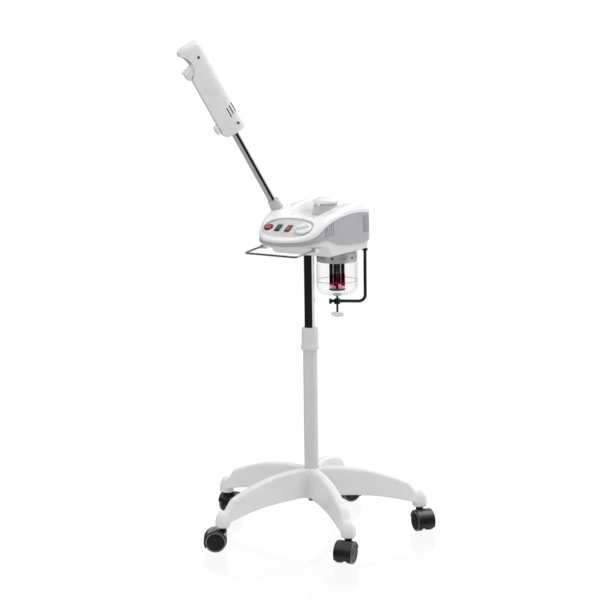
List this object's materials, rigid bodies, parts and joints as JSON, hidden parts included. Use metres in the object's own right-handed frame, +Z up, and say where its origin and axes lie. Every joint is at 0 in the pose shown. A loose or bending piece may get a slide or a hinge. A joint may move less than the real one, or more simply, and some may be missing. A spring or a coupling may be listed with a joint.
{
  "type": "facial steamer",
  "caption": "Facial steamer: boiler unit with a glass jar, control panel and tilted steam arm with a turning nozzle, on a telescopic column with a star base on twin-wheel casters.",
  "frame": {"origin": "on the floor, on the axis of the column", "axes": "+Z up along the column; the control panel faces -Y; +X is to the right seen from the panel side, and the steam arm stands on the -X side"},
  "size_m": [0.5611, 0.5992, 1.2033],
  "materials": {
    "white_plastic": "satin",
    "cover_white": "gloss",
    "grey_plastic": "satin",
    "panel_grey": "satin",
    "caster_black": "satin",
    "wheel_black": "satin",
    "column_white": "satin",
    "steel": "satin",
    "chrome_tube": "polished",
    "bush_black": "matt",
    "red_lens": "gloss",
    "dark_rocker": "gloss",
    "timer_grey": "matt",
    "seal_black": "matt",
    "board_green": "matt",
    "silicone": "satin",
    "flange_metal": "satin",
    "jar_glass": "clear",
    "heater_metal": "satin",
    "bracket_black": "gloss",
    "lamp_quartz": "clear"
  },
  "bodies": {
    "stand": {"base_star": "white_plastic", "outer_column": "column_white", "base_bolt": "steel", "guide_bush": "bush_black"},
    "lock_ring": {"lock_collar": "white_plastic"},
    "lift_tube": {"inner_column": "chrome_tube"},
    "head_unit": {"column_socket": "white_plastic", "socket_screws": "seal_black", "bottom_pan": "white_plastic", "side_body": "grey_plastic", "top_cover": "cover_white", "cover_screws": "steel", "control_panel": "panel_grey", "switch_housings": "dark_rocker", "timer_body": "timer_grey", "filler_neck": "panel_grey", "towel_bar": "chrome_tube", "towel_bar_clips": "white_plastic", "power_inlet": "bush_black", "circuit_board": "board_green", "steam_duct": "silicone", "jar_flange": "flange_metal", "jar_gasket": "seal_black", "jar": "jar_glass", "heater": "heater_metal"},
    "filler_lid": {"filler_cap": "cover_white", "cap_gasket": "seal_black"},
    "power_switch": {"power_rocker": "red_lens"},
    "ozone_switch": {"ozone_rocker": "dark_rocker"},
    "steam_switch": {"steam_rocker": "red_lens"},
    "timer_dial": {"timer_knob": "cover_white"},
    "jar_bracket": {"bracket": "bracket_black"},
    "clamp_pad": {"pressure_pad": "seal_black"},
    "clamp_handle": {"clamp_screw": "steel", "wing_knob": "white_plastic"},
    "steam_arm": {"arm_collar": "white_plastic", "collar_seals": "seal_black", "arm_tube": "chrome_tube", "head_shell_right": "cover_white", "head_shell_left": "cover_white", "head_screws": "steel", "head_duct": "silicone", "ozone_lamp": "lamp_quartz", "grip": "cover_white"},
    "steam_nozzle": {"nozzle": "cover_white"},
    "caster_1": {"caster_1_fork": "caster_black"},
    "caster_1_a": {"caster_1_wheel_a": "wheel_black"},
    "caster_1_b": {"caster_1_wheel_b": "wheel_black"},
    "caster_2": {"caster_2_fork": "caster_black"},
    "caster_2_a": {"caster_2_wheel_a": "wheel_black"},
    "caster_2_b": {"caster_2_wheel_b": "wheel_black"},
    "caster_3": {"caster_3_fork": "caster_black"},
    "caster_3_a": {"caster_3_wheel_a": "wheel_black"},
    "caster_3_b": {"caster_3_wheel_b": "wheel_black"},
    "caster_4": {"caster_4_fork": "caster_black"},
    "caster_4_a": {"caster_4_wheel_a": "wheel_black"},
    "caster_4_b": {"caster_4_wheel_b": "wheel_black"},
    "caster_5": {"caster_5_fork": "caster_black"},
    "caster_5_a": {"caster_5_wheel_a": "wheel_black"},
    "caster_5_b": {"caster_5_wheel_b": "wheel_black"}
  },
  "joints": [
    {"name": "lock_collar_turn", "type": "hinge", "parent": "stand", "child": "lock_ring", "pos_m": [0, 0, 0.482], "axis": [0, 0, 1], "range_deg": [-120, 0]},
    {"name": "column_slide", "type": "slide", "parent": "stand", "child": "lift_tube", "axis": [0, 0, 1], "range_m": [-0.16, 0.12]},
    {"name": "head_unit_turn", "type": "hinge", "parent": "lift_tube", "child": "head_unit", "pos_m": [0, 0, 0.7], "axis": [0, 0, 1], "range_deg": [-170, 170]},
    {"name": "filler_cap_lift", "type": "slide", "parent": "head_unit", "child": "filler_lid", "axis": [0, 0, 1], "range_m": [0, 0.08]},
    {"name": "power_rocker_tip", "type": "hinge", "parent": "head_unit", "child": "power_switch", "pos_m": [-0.055, -0.088, 0.7606], "axis": [1, 0, 0], "range_deg": [-8, 0]},
    {"name": "ozone_rocker_tip", "type": "hinge", "parent": "head_unit", "child": "ozone_switch", "pos_m": [-0.0265, -0.088, 0.7606], "axis": [1, 0, 0], "range_deg": [-8, 0]},
    {"name": "steam_rocker_tip", "type": "hinge", "parent": "head_unit", "child": "steam_switch", "pos_m": [0.002, -0.088, 0.7606], "axis": [1, 0, 0], "range_deg": [-8, 0]},
    {"name": "timer_knob_turn", "type": "hinge", "parent": "head_unit", "child": "timer_dial", "pos_m": [0.045, -0.09055, 0.7649], "axis": [0, -0.509, 0.8607], "range_deg": [-300, 0]},
    {"name": "bracket_swing", "type": "hinge", "parent": "head_unit", "child": "jar_bracket", "pos_m": [0.07235, 0.13945, 0.69], "axis": [0, 0, 1], "range_deg": [0, 95]},
    {"name": "clamp_pad_slide", "type": "slide", "parent": "jar_bracket", "child": "clamp_pad", "axis": [0, 0, 1], "range_m": [-0.0045, 0]},
    {"name": "clamp_screw_turn", "type": "hinge", "parent": "clamp_pad", "child": "clamp_handle", "pos_m": [0.012, 0.106, 0.557], "axis": [0, 0, 1], "range_deg": [-1080, 0]},
    {"name": "arm_turn", "type": "hinge", "parent": "head_unit", "child": "steam_arm", "pos_m": [-0.07, -0.02, 0.788], "axis": [-0.3067, -0.3655, 0.8788], "range_deg": [-150, 150]},
    {"name": "nozzle_turn", "type": "hinge", "parent": "steam_arm", "child": "steam_nozzle", "pos_m": [-0.19422, -0.16804, 1.14392], "axis": [-0.4888, -0.5825, -0.6494], "continuous": true},
    {"name": "caster_1_swivel", "type": "hinge", "parent": "stand", "child": "caster_1", "pos_m": [0.2197, 0.14819, 0.062], "axis": [0, 0, 1], "continuous": true},
    {"name": "caster_1_roll_a", "type": "hinge", "parent": "caster_1", "child": "caster_1_a", "pos_m": [0.23462, 0.13812, 0.025], "axis": [-0.5592, -0.829, 0], "continuous": true},
    {"name": "caster_1_roll_b", "type": "hinge", "parent": "caster_1", "child": "caster_1_b", "pos_m": [0.23462, 0.13812, 0.025], "axis": [-0.5592, -0.829, 0], "continuous": true},
    {"name": "caster_2_swivel", "type": "hinge", "parent": "stand", "child": "caster_2", "pos_m": [-0.07304, 0.25473, 0.062], "axis": [0, 0, 1], "continuous": true},
    {"name": "caster_2_roll_a", "type": "hinge", "parent": "caster_2", "child": "caster_2_a", "pos_m": [-0.06404, 0.27032, 0.025], "axis": [0.866, -0.5, 0], "continuous": true},
    {"name": "caster_2_roll_b", "type": "hinge", "parent": "caster_2", "child": "caster_2_b", "pos_m": [-0.06404, 0.27032, 0.025], "axis": [0.866, -0.5, 0], "continuous": true},
    {"name": "caster_3_swivel", "type": "hinge", "parent": "stand", "child": "caster_3", "pos_m": [-0.26484, 0.00925, 0.062], "axis": [0, 0, 1], "continuous": true},
    {"name": "caster_3_roll_a", "type": "hinge", "parent": "caster_3", "child": "caster_3_a", "pos_m": [-0.26641, 0.02718, 0.025], "axis": [0.9962, 0.0872, 0], "continuous": true},
    {"name": "caster_3_roll_b", "type": "hinge", "parent": "caster_3", "child": "caster_3_b", "pos_m": [-0.26641, 0.02718, 0.025], "axis": [0.9962, 0.0872, 0], "continuous": true},
    {"name": "caster_4_swivel", "type": "hinge", "parent": "stand", "child": "caster_4", "pos_m": [-0.09063, -0.24902, 0.062], "axis": [0, 0, 1], "continuous": true},
    {"name": "caster_4_roll_a", "type": "hinge", "parent": "caster_4", "child": "caster_4_a", "pos_m": [-0.10538, -0.25934, 0.025], "axis": [-0.5736, 0.8192, 0], "continuous": true},
    {"name": "caster_4_roll_b", "type": "hinge", "parent": "caster_4", "child": "caster_4_b", "pos_m": [-0.10538, -0.25934, 0.025], "axis": [-0.5736, 0.8192, 0], "continuous": true},
    {"name": "caster_5_swivel", "type": "hinge", "parent": "stand", "child": "caster_5", "pos_m": [0.20882, -0.16315, 0.062], "axis": [0, 0, 1], "continuous": true},
    {"name": "caster_5_roll_a", "type": "hinge", "parent": "caster_5", "child": "caster_5_a", "pos_m": [0.21226, -0.18082, 0.025], "axis": [-0.9816, -0.1908, 0], "continuous": true},
    {"name": "caster_5_roll_b", "type": "hinge", "parent": "caster_5", "child": "caster_5_b", "pos_m": [0.21226, -0.18082, 0.025], "axis": [-0.9816, -0.1908, 0], "continuous": true}
  ],
  "couplings": [
    {"joint": "clamp_screw_turn", "follows": "clamp_pad_slide", "rad_per_m": 4188.8}
  ]
}
